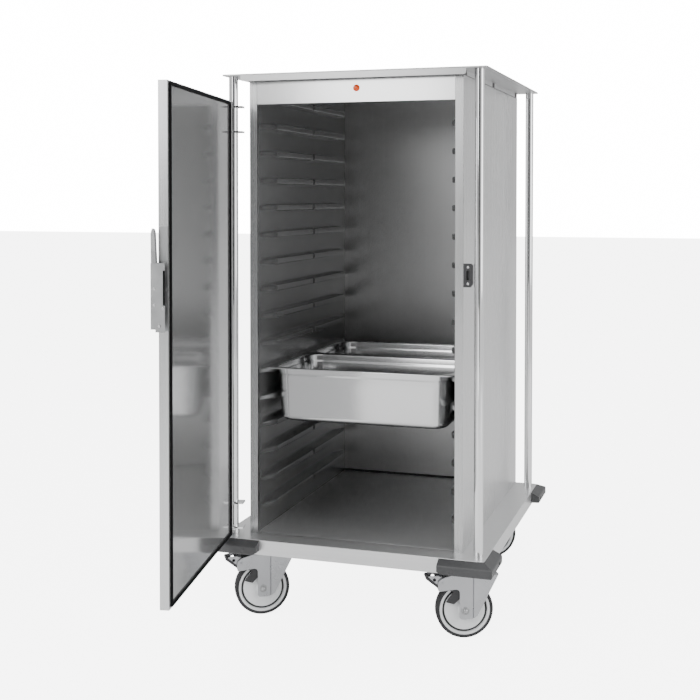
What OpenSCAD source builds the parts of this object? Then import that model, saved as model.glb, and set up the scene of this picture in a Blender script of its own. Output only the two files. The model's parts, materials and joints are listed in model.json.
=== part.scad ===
// Enclosed tray cart: a steel cabinet with pressed runners, standing on a
// folded base with four swivel castors and four corner posts under a flat roof.
// One door turns on the front left post and folds back along the left side.
// X is the width, +Y points to the back, Z is up. The origin lies on the floor
// under the middle of the base. All lengths are in millimetres.

/* [Cabinet] */
// Outer width of the cabinet
cabinet_w = 594; // [580:1:600]
// Outer depth of the cabinet
cabinet_d = 806; // [790:1:830]
// Height of the cabinet walls above the base
cabinet_h = 1238; // [1238:1:1260]
// Width of the front jamb beside the opening
jamb_w = 22; // [20:1:26]
// Height of the door opening above the base
opening_h = 1174; // [1170:1:1176]
// Distance between the inner and outer back sheets
back_wall_t = 20; // [12:1:30]
// Sheet thickness of the panels
sheet = 1.2; // [1:0.1:1.5]

/* [Runners] */
// Number of runner levels
levels = 16; // [8:1:16]
// Distance from one runner level to the next
level_pitch = 75; // [70:1:75]
// Height of the lowest ledge above the base
first_ledge = 77; // [60:1:80]
// How far a ledge stands out of the inner wall
ledge_depth = 25; // [20:1:25]
// Height of the pressed bead that forms a ledge
ledge_h = 18; // [12:1:22]

/* [Base and roof] */
// Width of the base beside the cabinet
side_ledge = 68; // [66:1:80]
// Width of the base in front of the cabinet
front_ledge = 60; // [56:1:70]
// Height of the folded base edge
fascia_h = 40; // [38:1:44]
// Height of the vented frame between the walls and the roof
vent_h = 11; // [8:1:16]
// Thickness of the folded roof edge
roof_t = 6; // [5:1:8]
// Height of the roof's front rim
roof_rim_h = 20; // [16:1:24]
// How far the roof reaches past the post axes
roof_overhang = 24; // [20:1:26]

/* [Posts] */
// Diameter of the corner posts
post_d = 25; // [24:1:26]
// Distance from a post axis to the cabinet side
post_gap = 43; // [42:1:46]
// Distance from the front edge of the base to the front post axes
front_post_inset = 50; // [46:1:54]
// Distance from the back edge of the base to the back post axes
back_post_inset = 22; // [20:1:30]

/* [Door] */
// Angle at which the door stands open
door_open = 80; // [0:1:110]
// Thickness of the door
door_t = 22; // [20:1:24]
// Distance from the post axis to the free edge of the door
door_reach = 634; // [630:1:636]
// Height of the door
door_h = 1180; // [1178:1:1182]
// Gap under the door
door_lift = 2; // [2:1:3]
// Height of the seal over the inner face of the door
seal_h = 9.5; // [8:0.5:9.5]
// Width of the seal
seal_w = 7; // [6:0.5:14]

/* [Castors] */
// Wheel diameter
wheel_d = 150; // [140:1:150]
// Height from the floor to the underside of the base
castor_h = 180; // [180:1:190]
// Distance from a swivel axis to its wheel axle
trail = 28; // [24:1:32]
// Angle at which the wheels stand to the width of the cart
castor_turn = 26; // [0:1:60]

/* [Pans] */
// Length of a pan across the cart
pan_l = 530; // [528:1:532]
// Width of a pan along the cart
pan_w = 325; // [300:1:325]
// Depth of a pan
pan_h = 150; // [65:1:150]
// Level that the pans hang on, counted from the bottom
pan_level = 6; // [4:1:8]
// Distance from the front post axes to the front pan
pan_setback = 40; // [34:1:60]

/* [Hidden] */
$fn = 48;

steel = "silver";
dark = "dimgray";
black = "black";

// Base and floor levels
base_w = cabinet_w + 2 * side_ledge;
base_d = cabinet_d + front_ledge;
base_z = castor_h + fascia_h;
base_sheet = 2;
base_corner_r = 10;
front_y = -base_d / 2;
back_y = base_d / 2;
rail_d = 90;
rail_z = castor_h + 4;

// Posts
post_x = cabinet_w / 2 + post_gap;
front_post_y = front_y + front_post_inset;
back_post_y = back_y - back_post_inset;
post_wall = 2;
running_gap = 0.05;

// Cabinet
cabinet_x = cabinet_w / 2;
cabinet_y = front_y + front_ledge;
opening_x = cabinet_x - jamb_w;
inner_x = opening_x + 2;
inner_back_y = back_y - back_wall_t;
wall_top = base_z + cabinet_h;
floor_t = 3;
jamb_return = 14;

// Roof
roof_sheet = 1.5;
roof_z = wall_top + vent_h;
roof_top = roof_z + roof_t;
roof_x = post_x + roof_overhang;
roof_y = front_post_y - roof_overhang;
rim_inset = 54;
rim_corner_r = 14;
vent_setback = 6;

// Door, drawn shut with the post axis at the origin and its width along +X
door_edge = 16;
door_z = base_z + door_lift;
seal_free_in = 17;
seal_hinge_in = 6;
seal_right = post_x + cabinet_x - seal_free_in + seal_w / 2;
seal_left = post_x - cabinet_x + seal_hinge_in - seal_w / 2;
seal_low = door_z + 4;
seal_top = door_z + door_h - 3.5;
hinge_reach = 27.5;
hinge_bracket_t = 2;
hinge_plate_t = 5;
hinge_gap = 63;
hinge_base = door_z + 12;
hinge_top = door_z + door_h - 12 - hinge_gap - 2 * hinge_plate_t;

// Latch on the free edge of the door
latch_x = door_reach;
latch_w = 26;
latch_low = base_z + 626;
latch_top = base_z + 778;
latch_n = 36;
latch_wall = 1.5;
lever_pin_n = 13;
lever_pin_z = latch_low + 14;
lever_pin_r = 3;
lever_reach = 215;
lever_lean = 4.5;
lever_x = door_reach + 9;
lever_w = 12;
tooth_w = 6;
strike_z = base_z + 690;
strike_h = 61;
strike_w = 24;
strike_t = 12;
strike_slot_z = strike_z + 31;

// Castors
wheel_r = wheel_d / 2;
fork_top = castor_h - 11;
kingpin_r = 6;
axle_r = 5;
fork_half = 22;
fork_wall = 3;
// The pedal's pin, measured from the wheel axle
pedal_x = -60;
pedal_z = 74;
pedal_pin_r = 3;
// Position of each swivel axis and how far its wheel is turned
front_castor_y = front_y + 78;
back_castor_y = back_y - 78;
castor_places = [
    [-240, front_castor_y, castor_turn + 4],
    [325, front_castor_y, castor_turn - 4],
    [-262, back_castor_y, castor_turn],
    [262, back_castor_y, castor_turn]
];

// Pans
pan_rim_t = 1.5;
pan_rim_w = 16;
pan_z = base_z + first_ledge + (pan_level - 1) * level_pitch + 0.2;
front_pan_y = front_post_y + pan_setback;
back_pan_y = front_pan_y + pan_w + 1.5;

// ---- shared shapes ----

module box(low, high) {
    translate(low) cube(high - low);
}

module rounded_plate(w, d, h, r) {
    linear_extrude(h) union() {
        square([w - 2 * r, d], center = true);
        square([w, d - 2 * r], center = true);
        for (sx = [-1, 1], sy = [-1, 1])
            translate([sx * (w / 2 - r), sy * (d / 2 - r)]) circle(r);
    }
}

// Places the door's own drawing on the front left post, turned open
module on_door() {
    translate([-post_x, front_post_y, 0]) rotate([0, 0, -door_open]) children();
}

// A screw head with a short shank, its head towards +Z
module screw(head_r, head_h, shank_r, shank_h) {
    cylinder(r = head_r, h = head_h);
    translate([0, 0, -shank_h]) cylinder(r = shank_r, h = shank_h + 0.1);
}

// ---- base ----

module base_plate() {
    color(steel) difference() {
        translate([0, 0, castor_h]) rounded_plate(base_w, base_d, fascia_h, base_corner_r);
        translate([0, 0, castor_h - 1])
            rounded_plate(base_w - 2 * base_sheet, base_d - 2 * base_sheet,
                fascia_h + 1 - base_sheet, base_corner_r - base_sheet);
    }
}

// A channel under the base, open upwards, that carries a pair of castors
module cross_rail(y, castor_list) {
    rail_x = base_w / 2 - base_sheet - 0.5;
    color(steel) difference() {
        box([-rail_x, y - rail_d / 2, rail_z], [rail_x, y + rail_d / 2, base_z - base_sheet]);
        box([-rail_x - 1, y - rail_d / 2 + 3, rail_z + 4],
            [rail_x + 1, y + rail_d / 2 - 3, base_z]);
        for (p = castor_list)
            translate([p[0], p[1], rail_z - 1]) cylinder(r = kingpin_r, h = 6);
    }
}

module front_cross_rail() {
    cross_rail(front_castor_y, [castor_places[0], castor_places[1]]);
}

module back_cross_rail() {
    cross_rail(back_castor_y, [castor_places[2], castor_places[3]]);
}

// Wedge section of a corner bumper: x is outwards, y is up from the base's underside
module bumper_section() {
    polygon([[0, 2], [22, 4], [25, 8], [25, 25], [23, 28], [0, 39]]);
}

// Slanted cut at the lower end of a bumper's leg
module bumper_cut() {
    polygon([[-1, -1], [22, -1], [22, 1], [0, 11], [-1, 11]]);
}

// One L-shaped bumper at the corner whose outward signs are sx and sy
module bumper(sx, sy) {
    leg = 118;
    corner_x = base_w / 2;
    corner_y = base_d / 2;
    color(dark) translate([sx * corner_x, sy * corner_y, castor_h]) scale([sx, sy, 1])
        difference() {
            union() {
                translate([-leg, 0, 0]) rotate([90, 0, 90]) linear_extrude(leg + 0.01)
                    bumper_section();
                translate([0, -leg, 0]) rotate([90, 0, 0]) mirror([0, 0, 1])
                    linear_extrude(leg + 0.01) bumper_section();
                intersection() {
                    rotate([90, 0, 90]) linear_extrude(30) bumper_section();
                    rotate([90, 0, 0]) mirror([0, 0, 1]) linear_extrude(30) bumper_section();
                }
            }
            translate([-leg, 40, 0]) rotate([90, 0, 0]) linear_extrude(50) bumper_cut();
            translate([-10, -leg, 0]) rotate([90, 0, 90]) linear_extrude(50) bumper_cut();
        }
}

module front_bumpers() {
    bumper(-1, -1);
    bumper(1, -1);
}

module back_bumpers() {
    bumper(-1, 1);
    bumper(1, 1);
}

module bumper_screws() {
    color(steel) for (sx = [-1, 1], sy = [-1, 1]) {
        translate([sx * (base_w / 2 - 80), sy * (base_d / 2 + 25), castor_h + 16])
            rotate([sy * -90, 0, 0]) cylinder(r = 4, h = 1.6);
        translate([sx * (base_w / 2 + 25), sy * (base_d / 2 - 80), castor_h + 16])
            rotate([0, sx * 90, 0]) cylinder(r = 4, h = 1.6);
    }
}

// ---- posts ----

module post(x, y) {
    color(steel) translate([x, y, base_z]) difference() {
        cylinder(d = post_d, h = roof_top - roof_sheet - base_z);
        translate([0, 0, -1]) cylinder(d = post_d - 2 * post_wall, h = roof_top - base_z);
    }
}

module front_left_post() {
    post(-post_x, front_post_y);
}

module front_right_post() {
    post(post_x, front_post_y);
}

module back_left_post() {
    post(-post_x, back_post_y);
}

module back_right_post() {
    post(post_x, back_post_y);
}

// ---- cabinet shell ----

// Outer side sheet with the front jamb and a short return folded from it
module side_panel() {
    color(steel) {
        union() {
            box([cabinet_x - sheet, cabinet_y, base_z], [cabinet_x, back_y - sheet, wall_top]);
            box([opening_x, cabinet_y, base_z], [cabinet_x, cabinet_y + sheet, wall_top]);
            box([opening_x, cabinet_y, base_z],
                [opening_x + sheet, cabinet_y + jamb_return, wall_top - sheet]);
        }
    }
}

module left_side_panel() {
    mirror([1, 0, 0]) side_panel();
}

module right_side_panel() {
    side_panel();
}

module back_panel() {
    color(steel)
        box([-cabinet_x, back_y - sheet, base_z], [cabinet_x, back_y, wall_top]);
}

module inner_wall() {
    color(steel) box([inner_x, cabinet_y + sheet, base_z],
        [inner_x + sheet, inner_back_y, wall_top - sheet]);
}

module left_inner_wall() {
    mirror([1, 0, 0]) inner_wall();
}

module right_inner_wall() {
    inner_wall();
}

module back_inner_wall() {
    color(steel) box([-inner_x - sheet, inner_back_y, base_z],
        [inner_x + sheet, inner_back_y + sheet, wall_top - sheet]);
}

module floor_liner() {
    color(steel) box([-inner_x, cabinet_y + jamb_return, base_z],
        [inner_x, inner_back_y, base_z + floor_t]);
}

module ceiling_liner() {
    color(steel) box([-cabinet_x + sheet, cabinet_y + sheet, wall_top - sheet],
        [cabinet_x - sheet, back_y - sheet, wall_top]);
}

// One pressed bead with a round front end, hollow towards the wall
module runner(top_z) {
    start_y = cabinet_y + 16;
    end_y = inner_back_y - 0.5;
    round_r = ledge_depth;
    translate([inner_x, start_y, top_z - ledge_h]) difference() {
        linear_extrude(ledge_h) runner_plan(end_y - start_y, round_r, 0);
        translate([0, 0, sheet]) linear_extrude(ledge_h - 2 * sheet)
            runner_plan(end_y - start_y, round_r, sheet);
    }
}

module runner_plan(length, r, inset) {
    translate([-r + inset, r]) square([r - inset + (inset > 0 ? 1 : 0), length - r - inset]);
    intersection() {
        translate([0, r]) circle(r - inset);
        translate([-r, 0]) square([r + (inset > 0 ? 1 : 0), r + 0.1]);
    }
}

module runners() {
    color(steel) for (k = [0 : levels - 1])
        runner(base_z + first_ledge + k * level_pitch);
}

module left_runners() {
    mirror([1, 0, 0]) runners();
}

module right_runners() {
    runners();
}

// Front panel over the opening, with a return folded back under it
module header_panel() {
    low = base_z + opening_h;
    color(steel) {
        union() {
            box([-opening_x, cabinet_y, low], [opening_x, cabinet_y + sheet, wall_top]);
            box([-opening_x, cabinet_y, low], [opening_x, cabinet_y + 24, low + sheet]);
        }
    }
}

module header_marker() {
    color("orangered") translate([8, cabinet_y, base_z + 1211]) rotate([90, 0, 0])
        rotate_extrude() intersection() {
            translate([0, -11]) circle(14.5);
            square([9.3, 5]);
        }
}

// Four bars under the roof, with vent slots in the two side bars
module vent_frame() {
    outer_x = cabinet_x - vent_setback;
    front = cabinet_y + vent_setback;
    back = back_y - vent_setback;
    bar = 3;
    top = roof_top - roof_sheet;
    color(steel) {
        box([-outer_x, front, wall_top], [outer_x, front + bar, top]);
        box([-outer_x, back - bar, wall_top], [outer_x, back, top]);
        for (s = [-1, 1]) difference() {
            translate([s * (outer_x - bar / 2), (front + back) / 2, (wall_top + top) / 2])
                cube([bar, back - front - 2 * bar, top - wall_top], center = true);
            for (y = [30, 415, 615, 780])
                translate([s * outer_x, front_post_y + y, wall_top + 6])
                    cube([20, 26, 5], center = true);
        }
    }
}

// Flat roof with a folded edge and a deeper rim over the opening
module roof() {
    rim_x = roof_x - rim_inset;
    mid_y = (roof_y + back_y) / 2;
    depth = back_y - roof_y;
    color(steel) union() {
        difference() {
            translate([0, mid_y, roof_z]) rounded_plate(2 * roof_x, depth, roof_t, 4);
            translate([0, mid_y, roof_z - 1])
                rounded_plate(2 * (roof_x - roof_sheet), depth - 2 * roof_sheet,
                    roof_t + 1 - roof_sheet, 2.5);
        }
        translate([0, roof_y + roof_sheet, roof_top - roof_rim_h]) rotate([90, 0, 0])
            linear_extrude(roof_sheet) intersection() {
                translate([-rim_x, 0]) square([2 * rim_x, roof_rim_h - 1]);
                union() {
                    translate([-rim_x, rim_corner_r]) square([2 * rim_x, roof_rim_h]);
                    translate([-rim_x + rim_corner_r, 0])
                        square([2 * (rim_x - rim_corner_r), roof_rim_h]);
                    for (s = [-1, 1])
                        translate([s * (rim_x - rim_corner_r), rim_corner_r]) circle(rim_corner_r);
                }
            }
    }
}

// Dark block beside the right jamb that the door latch hooks behind
module strike_block() {
    color(dark) difference() {
        translate([cabinet_x, cabinet_y + strike_t, strike_z]) rotate([90, 0, 0])
            linear_extrude(strike_t) polygon([
                [0, 0], [strike_w - 6, 0], [strike_w, 8], [strike_w, strike_h - 5],
                [strike_w - 5, strike_h], [0, strike_h]
            ]);
        translate([lever_x + lever_w / 2 - post_x, cabinet_y, strike_slot_z])
            cube([tooth_w + 2, 16, 24], center = true);
        for (z = [9, strike_h - 9])
            translate([cabinet_x + strike_w / 2, cabinet_y - 1, strike_z + z])
                rotate([-90, 0, 0]) cylinder(r = 2 + running_gap, h = 9.1);
    }
}

module strike_screws() {
    color(steel) for (z = [9, strike_h - 9])
        translate([cabinet_x + strike_w / 2, cabinet_y, strike_z + z]) rotate([90, 0, 0])
            screw(3.2, 0.6, 2, 8);
}

// Ring on the front left post that carries the lower hinge
module hinge_ring() {
    color(steel) translate([-post_x, front_post_y, base_z]) difference() {
        cylinder(r = post_d / 2 + 2.5, h = hinge_base - base_z - 0.3);
        translate([0, 0, -1]) cylinder(r = post_d / 2, h = 40);
    }
}

// ---- door ----

module door_outer_skin() {
    color(steel) on_door() difference() {
        box([door_edge, -door_t, door_z], [door_reach, 0, door_z + door_h]);
        box([door_edge + sheet, -door_t + sheet, door_z + sheet],
            [door_reach - sheet, 1, door_z + door_h - sheet]);
    }
}

module door_inner_skin() {
    color(steel) on_door() box([door_edge + sheet, -sheet, door_z + sheet],
        [door_reach - sheet, 0, door_z + door_h - sheet]);
}

module door_seal() {
    color(black) on_door() difference() {
        box([seal_left, 0, seal_low], [seal_right, seal_h, seal_top]);
        box([seal_left + seal_w, -1, seal_low + seal_w],
            [seal_right - seal_w, seal_h + 1, seal_top - seal_w]);
    }
}

// A pair of plates bored for the post, joined by a bracket on the door's outer face
module door_hinge(z) {
    height = hinge_gap + 2 * hinge_plate_t;
    half = 15;
    color(steel) on_door() translate([0, 0, z]) difference() {
        union() {
            for (h = [0, hinge_gap + hinge_plate_t])
                box([-half, -door_t - hinge_bracket_t, h],
                    [half, hinge_reach, h + hinge_plate_t]);
            box([-half, -door_t - hinge_bracket_t, 0], [54, -door_t, height]);
        }
        translate([0, 0, -1]) cylinder(r = post_d / 2 + running_gap, h = height + 2);
    }
}

module upper_hinge() {
    door_hinge(hinge_top);
}

module lower_hinge() {
    door_hinge(hinge_base);
}

module hinge_screws() {
    color(steel) on_door() for (base = [hinge_base, hinge_top], h = [16, 57], x = [34, 46])
        translate([x, -door_t - hinge_bracket_t, base + h]) rotate([90, 0, 0])
            cylinder(r = 3.5, h = 1.5);
}

// ---- latch ----

// Folded housing on the free edge, open towards the cabinet side
module latch_housing() {
    color(steel) on_door() difference() {
        box([latch_x, -latch_n, latch_low], [latch_x + latch_w, 0, latch_top]);
        box([latch_x + latch_wall, -latch_n + latch_wall, latch_low - 1],
            [latch_x + latch_w - latch_wall, 1, latch_top + 1]);
        translate([latch_x - 1, -lever_pin_n, lever_pin_z]) rotate([0, 90, 0])
            cylinder(r = lever_pin_r, h = latch_w + 2);
        box([latch_x + latch_w - 5, -5, latch_low + 59], [latch_x + latch_w + 1, 1, latch_low + 136]);
        box([latch_x - 1, -latch_n - 1, latch_low - 1],
            [latch_x + latch_w + 1, -latch_n + 12, latch_low + 6]);
    }
}

module latch_plate() {
    color(dark) on_door()
        box([latch_x, -19, latch_top + 1], [latch_x + 2, 0, latch_top + 81]);
}

module latch_screws() {
    color(steel) on_door() for (p = [[-27, 96], [-27, 60], [-5, 53]])
        translate([latch_x + latch_w, p[0], latch_low + p[1]]) rotate([0, 90, 0])
            cylinder(r = 3, h = 1.2);
}

module latch_pin() {
    color(steel) on_door() translate([latch_x, -lever_pin_n, lever_pin_z]) rotate([0, 90, 0])
        cylinder(r = lever_pin_r, h = latch_w + 1);
}

// Coil round the pin, beside the lever
module latch_spring() {
    color(steel) on_door() translate([latch_x + 2, -lever_pin_n, lever_pin_z])
        rotate([0, 90, 0]) difference() {
            cylinder(r = 6, h = 6);
            translate([0, 0, -1]) cylinder(r = 4, h = 8);
        }
}

// Long lever on a pin low in the housing, with a tooth that enters the strike's slot
module latch_lever() {
    color(steel) on_door() translate([lever_x, 0, 0]) difference() {
        union() {
            translate([0, -lever_pin_n, lever_pin_z]) {
                rotate([0, 90, 0]) cylinder(r = 7, h = lever_w);
                rotate([lever_lean, 0, 0]) {
                    box([0, -2, 0], [lever_w, 2, lever_reach - lever_w / 2]);
                    translate([lever_w / 2, 2, lever_reach - lever_w / 2]) rotate([90, 0, 0])
                        cylinder(r = lever_w / 2, h = 4);
                }
            }
            box([(lever_w - tooth_w) / 2, -20, strike_slot_z - 4],
                [(lever_w + tooth_w) / 2, 0, strike_slot_z + 4]);
        }
        translate([-1, -lever_pin_n, lever_pin_z]) rotate([0, 90, 0])
            cylinder(r = lever_pin_r + running_gap, h = lever_w + 2);
    }
}

// ---- pans ----

// Deep tray with a flat rim that hangs on two ledges
module pan(y) {
    body_l = pan_l - 2 * pan_rim_w;
    body_w = pan_w - 2 * pan_rim_w;
    foot_l = body_l - 22;
    foot_w = body_w - 22;
    wall = 1.2;
    color(steel) translate([0, y + pan_w / 2, pan_z]) {
        difference() {
            union() {
                rounded_plate(pan_l, pan_w, pan_rim_t, 14);
                hull() {
                    translate([0, 0, -2]) rounded_plate(body_l, body_w, 2, 54, $fn = 32);
                    translate([0, 0, -pan_h + pan_rim_t]) rounded_plate(foot_l, foot_w, 2, 48, $fn = 32);
                }
            }
            hull() {
                rounded_plate(body_l - 2 * wall, body_w - 2 * wall, 3, 53, $fn = 32);
                translate([0, 0, -pan_h + pan_rim_t + wall])
                    rounded_plate(foot_l - 2 * wall, foot_w - 2 * wall, 2, 47, $fn = 32);
            }
        }
    }
}

module front_pan() {
    pan(front_pan_y);
}

module back_pan() {
    pan(back_pan_y);
}

// ---- castors ----

module castor_heads() {
    disc_r = 31;
    color(steel) for (p = castor_places) translate([p[0], p[1], 0]) {
        translate([0, 0, rail_z - 6]) cylinder(r = disc_r, h = 6);
        translate([0, 0, fork_top - 8]) cylinder(r = kingpin_r, h = rail_z + 4 - fork_top + 8);
        translate([0, 0, fork_top - 10]) cylinder(r = 11, h = 6.5);
        translate([0, 0, rail_z + 4]) cylinder(r = 10, h = 8);
    }
}

// Puts a castor's own drawing, wheel behind the swivel along -X, in its place
module castor_at(index) {
    p = castor_places[index];
    translate([p[0], p[1], 0]) rotate([0, 0, p[2]]) children();
}

// Side plate of a fork seen from the side, with the axle at the origin. A braked
// fork reaches out over the tyre to hold the pedal.
module fork_side(braked) {
    top = fork_top - wheel_r;
    head = [[10, -22], [32, -15], [88, top - 4], [88, top]];
    plain = [[-24, top], [-15, top - 20], [-15, -22]];
    brake_arm = [
        [-30, top], [pedal_x - 8, pedal_z + 10], [pedal_x - 12, pedal_z - 4], [-76, 50],
        [-22, 56], [-15, 49], [-15, -22]
    ];
    polygon(concat(head, braked ? brake_arm : plain));
}

module fork(index, braked) {
    color("lightgray") castor_at(index) difference() {
        union() {
            for (s = [-1, 1])
                translate([-trail, s * (fork_half + fork_wall / 2) + fork_wall / 2, wheel_r])
                    rotate([90, 0, 0]) linear_extrude(fork_wall) fork_side(braked);
            box([-trail - 24, -fork_half - fork_wall, fork_top - fork_wall],
                [88 - trail, fork_half + fork_wall, fork_top]);
            translate([0, 0, fork_top]) cylinder(r = 28, h = rail_z - 6.5 - fork_top);
        }
        translate([0, 0, fork_top - 10]) cylinder(r = kingpin_r + running_gap, h = 30);
        translate([-trail, -40, wheel_r]) rotate([-90, 0, 0]) cylinder(r = axle_r, h = 80);
        if (braked) translate([-trail + pedal_x, -40, wheel_r + pedal_z])
            rotate([-90, 0, 0]) cylinder(r = pedal_pin_r, h = 80);
    }
}

module axle(index) {
    length = 2 * (fork_half + fork_wall);
    color(steel) castor_at(index) translate([-trail, 0, wheel_r]) rotate([-90, 0, 0]) {
        translate([0, 0, -length / 2]) cylinder(r = axle_r, h = length);
        for (s = [-1, 1]) translate([0, 0, s * (length / 2 + 2.5) - 2.5]) cylinder(r = 9, h = 5);
    }
}

module wheel_ring(index, profile) {
    castor_at(index) translate([-trail, 0, wheel_r]) rotate([-90, 0, 0])
        rotate_extrude($fn = 96) polygon(profile);
}

// Hub with a thin web between its bore and its rim
module hub(index) {
    rim_r = wheel_r - 9;
    color("lightgray") wheel_ring(index, [
        [axle_r + running_gap, -19], [14, -19], [18, -12], [rim_r - 11, -11],
        [rim_r - 8, -14], [rim_r, -14], [rim_r, 14], [rim_r - 8, 14],
        [rim_r - 11, 11], [18, 12], [14, 19], [axle_r + running_gap, 19]
    ]);
}

module tyre(index) {
    rim_r = wheel_r - 9;
    color(black) wheel_ring(index, [
        [rim_r, -14], [wheel_r - 4, -14], [wheel_r - 1, -11], [wheel_r, -6],
        [wheel_r, 6], [wheel_r - 1, 11], [wheel_r - 4, 14], [rim_r, 14]
    ]);
}

// Foot pedal on two pins, with a brake shoe above the tyre and a brake arm
// beside the wheel. It is drawn with the axle at the origin.
module pedal(index) {
    half = fork_half - 2;
    color("lightgray") castor_at(index) translate([-trail, 0, wheel_r]) union() {
        translate([pedal_x, -half, pedal_z]) rotate([-90, 0, 0]) cylinder(r = 7, h = 2 * half);
        translate([pedal_x, -fork_half - fork_wall, pedal_z]) rotate([-90, 0, 0])
            cylinder(r = pedal_pin_r - running_gap, h = 2 * (fork_half + fork_wall));
        translate([0, half, 0]) rotate([90, 0, 0]) linear_extrude(2 * half) polygon([
            [pedal_x, pedal_z + 6.5], [-92, 86], [-104, 90], [-105, 87], [-92, 82.5],
            [pedal_x, pedal_z + 2]
        ]);
        translate([0, 12, 0]) rotate([90, 0, 0]) linear_extrude(24) polygon([
            [pedal_x - 5, pedal_z], [pedal_x + 3, pedal_z], [-59, 57], [-66, 48], [-69, 50]
        ]);
        translate([0, -18, 0]) rotate([90, 0, 0]) linear_extrude(3) polygon([
            [pedal_x - 5, pedal_z + 4], [pedal_x + 8, pedal_z + 4], [-20, 60], [-14, 50],
            [-14, 30], [-29, 16], [-50, 24], [pedal_x - 3, pedal_z - 6]
        ]);
    }
}

module front_left_fork() { fork(0, true); }
module front_left_axle() { axle(0); }
module front_left_hub() { hub(0); }
module front_left_tyre() { tyre(0); }
module front_left_pedal() { pedal(0); }
module front_right_fork() { fork(1, true); }
module front_right_axle() { axle(1); }
module front_right_hub() { hub(1); }
module front_right_tyre() { tyre(1); }
module front_right_pedal() { pedal(1); }
module back_left_fork() { fork(2, false); }
module back_left_axle() { axle(2); }
module back_left_hub() { hub(2); }
module back_left_tyre() { tyre(2); }
module back_right_fork() { fork(3, false); }
module back_right_axle() { axle(3); }
module back_right_hub() { hub(3); }
module back_right_tyre() { tyre(3); }

base_plate();
front_cross_rail();
back_cross_rail();
front_bumpers();
back_bumpers();
bumper_screws();
front_left_post();
front_right_post();
back_left_post();
back_right_post();
left_side_panel();
right_side_panel();
back_panel();
left_inner_wall();
right_inner_wall();
back_inner_wall();
left_runners();
right_runners();
floor_liner();
ceiling_liner();
header_panel();
header_marker();
vent_frame();
roof();
strike_block();
strike_screws();
hinge_ring();
castor_heads();
door_outer_skin();
door_inner_skin();
door_seal();
upper_hinge();
lower_hinge();
hinge_screws();
latch_housing();
latch_plate();
latch_screws();
latch_pin();
latch_spring();
latch_lever();
front_pan();
back_pan();
front_left_fork();
front_left_axle();
front_left_hub();
front_left_tyre();
front_left_pedal();
front_right_fork();
front_right_axle();
front_right_hub();
front_right_tyre();
front_right_pedal();
back_left_fork();
back_left_axle();
back_left_hub();
back_left_tyre();
back_right_fork();
back_right_axle();
back_right_hub();
back_right_tyre();
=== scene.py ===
import json
import math

import bpy
from mathutils import Matrix, Vector

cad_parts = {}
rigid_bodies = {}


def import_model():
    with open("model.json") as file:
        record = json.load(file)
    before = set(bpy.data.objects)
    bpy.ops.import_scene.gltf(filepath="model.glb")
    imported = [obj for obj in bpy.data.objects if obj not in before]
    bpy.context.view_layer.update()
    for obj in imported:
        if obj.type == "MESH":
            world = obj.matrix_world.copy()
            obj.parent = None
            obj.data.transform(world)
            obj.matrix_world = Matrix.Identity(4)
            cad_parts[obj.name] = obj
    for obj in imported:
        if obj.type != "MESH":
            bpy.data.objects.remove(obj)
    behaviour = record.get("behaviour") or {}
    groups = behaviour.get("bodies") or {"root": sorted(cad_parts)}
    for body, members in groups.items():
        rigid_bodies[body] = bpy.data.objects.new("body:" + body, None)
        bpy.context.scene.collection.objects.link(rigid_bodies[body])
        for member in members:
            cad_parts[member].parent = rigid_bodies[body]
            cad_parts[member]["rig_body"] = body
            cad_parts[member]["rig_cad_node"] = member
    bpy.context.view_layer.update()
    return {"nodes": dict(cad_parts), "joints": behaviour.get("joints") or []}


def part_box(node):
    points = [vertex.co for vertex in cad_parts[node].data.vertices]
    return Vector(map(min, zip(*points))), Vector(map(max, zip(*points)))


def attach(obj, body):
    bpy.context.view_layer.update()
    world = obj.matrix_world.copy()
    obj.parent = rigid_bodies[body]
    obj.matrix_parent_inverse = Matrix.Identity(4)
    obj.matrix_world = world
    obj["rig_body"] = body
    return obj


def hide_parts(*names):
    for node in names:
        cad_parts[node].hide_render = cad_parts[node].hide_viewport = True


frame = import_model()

# Lengths are in metres. X is the cart's width, +Y points to its back, Z is up.
mm = 0.001
QUARTER_TURN = math.radians(90)
# Points closer than this are one point, and faces within this angle are one flat face
MERGE_WITHIN = 0.01 * mm
FLAT_WITHIN = math.radians(1)
# How strongly a face's size pulls the normals at its edges
NORMAL_WEIGHT = 90
nodes = frame["nodes"]
joints = {joint["name"]: joint for joint in frame["joints"]}


# ---- camera ----

PHOTO_SIZE = 700
FOCAL_PIXELS = 1188.0
CENTRE_PIXEL = (333.2, 226.1)
SENSOR = 36.0
CAMERA_PLACE = (0.9465, -3.3792, 1.1457)
CAMERA_TILT = 88.542
CAMERA_TURN = 18.455
CAMERA_REACH = 100


def add_camera():
    """The photograph's viewpoint, found from the cart's own edges."""
    data = bpy.data.cameras.new("camera")
    camera = bpy.data.objects.new("camera", data)
    bpy.context.scene.collection.objects.link(camera)
    data.sensor_width = SENSOR
    data.lens = FOCAL_PIXELS * SENSOR / PHOTO_SIZE
    data.shift_x = 0.5 - CENTRE_PIXEL[0] / PHOTO_SIZE
    data.shift_y = CENTRE_PIXEL[1] / PHOTO_SIZE - 0.5
    data.clip_end = CAMERA_REACH
    camera.location = CAMERA_PLACE
    camera.rotation_euler = (math.radians(CAMERA_TILT), 0, math.radians(CAMERA_TURN))
    bpy.context.scene.camera = camera


add_camera()


# ---- modelling helpers ----

def only(piece):
    """Selects one object and makes it active."""
    bpy.ops.object.select_all(action="DESELECT")
    piece.select_set(True)
    bpy.context.view_layer.objects.active = piece


def edit_whole(piece):
    """Opens a piece in edit mode with all of it selected."""
    only(piece)
    bpy.ops.object.mode_set(mode="EDIT")
    bpy.ops.mesh.select_mode(type="VERT")
    bpy.ops.mesh.select_all(action="SELECT")


def leave_edit():
    bpy.ops.object.mode_set(mode="OBJECT")


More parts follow.
